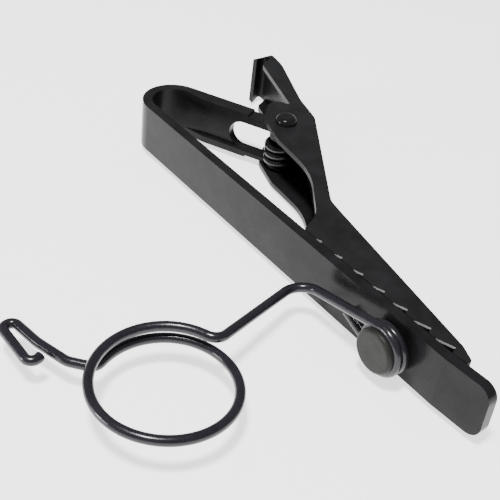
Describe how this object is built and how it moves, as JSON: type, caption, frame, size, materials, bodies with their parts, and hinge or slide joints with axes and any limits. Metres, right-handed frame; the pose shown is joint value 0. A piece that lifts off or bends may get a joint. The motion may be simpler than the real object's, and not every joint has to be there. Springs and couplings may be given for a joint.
{
  "type": "lavalier microphone tie clip",
  "caption": "Sprung alligator tie clip of bent black steel strip, with a toothed channel jaw and a riveted, swivelling wire ring that holds a lavalier microphone.",
  "frame": {"origin": "centre of the bounding box in plan, at the lowest point of the clip lying on its side", "axes": "+X along the front bar from the bend to the tip, +Y from the bar towards the jaw lever, +Z across the strip, along the hinge pin"},
  "size_m": [0.0516, 0.0444, 0.0067],
  "materials": {
    "black_strip": "satin",
    "black_wire": "semi-gloss",
    "spring_wire": "satin",
    "rivet_steel": "satin"
  },
  "bodies": {
    "clip": {"strap": "black_strip", "holder_rivet": "rivet_steel", "torsion_spring": "spring_wire"},
    "jaw": {"jaw_lever": "black_strip", "hinge_pin": "rivet_steel"},
    "holder": {"mic_holder_wire": "black_wire"}
  },
  "joints": [
    {"name": "jaw_hinge", "type": "hinge", "parent": "clip", "child": "jaw", "pos_m": [-0.01215, 0.01428, 0.00315], "axis": [0, 0, 1], "range_deg": [0, 30], "stiffness_Nm_per_rad": 0.017, "springref_deg": -45.84, "deforming": ["torsion_spring"]},
    {"name": "holder_swivel", "type": "hinge", "parent": "clip", "child": "holder", "pos_m": [0.01603, 0.00366, 0.00315], "axis": [0, 1, 0], "continuous": true}
  ]
}
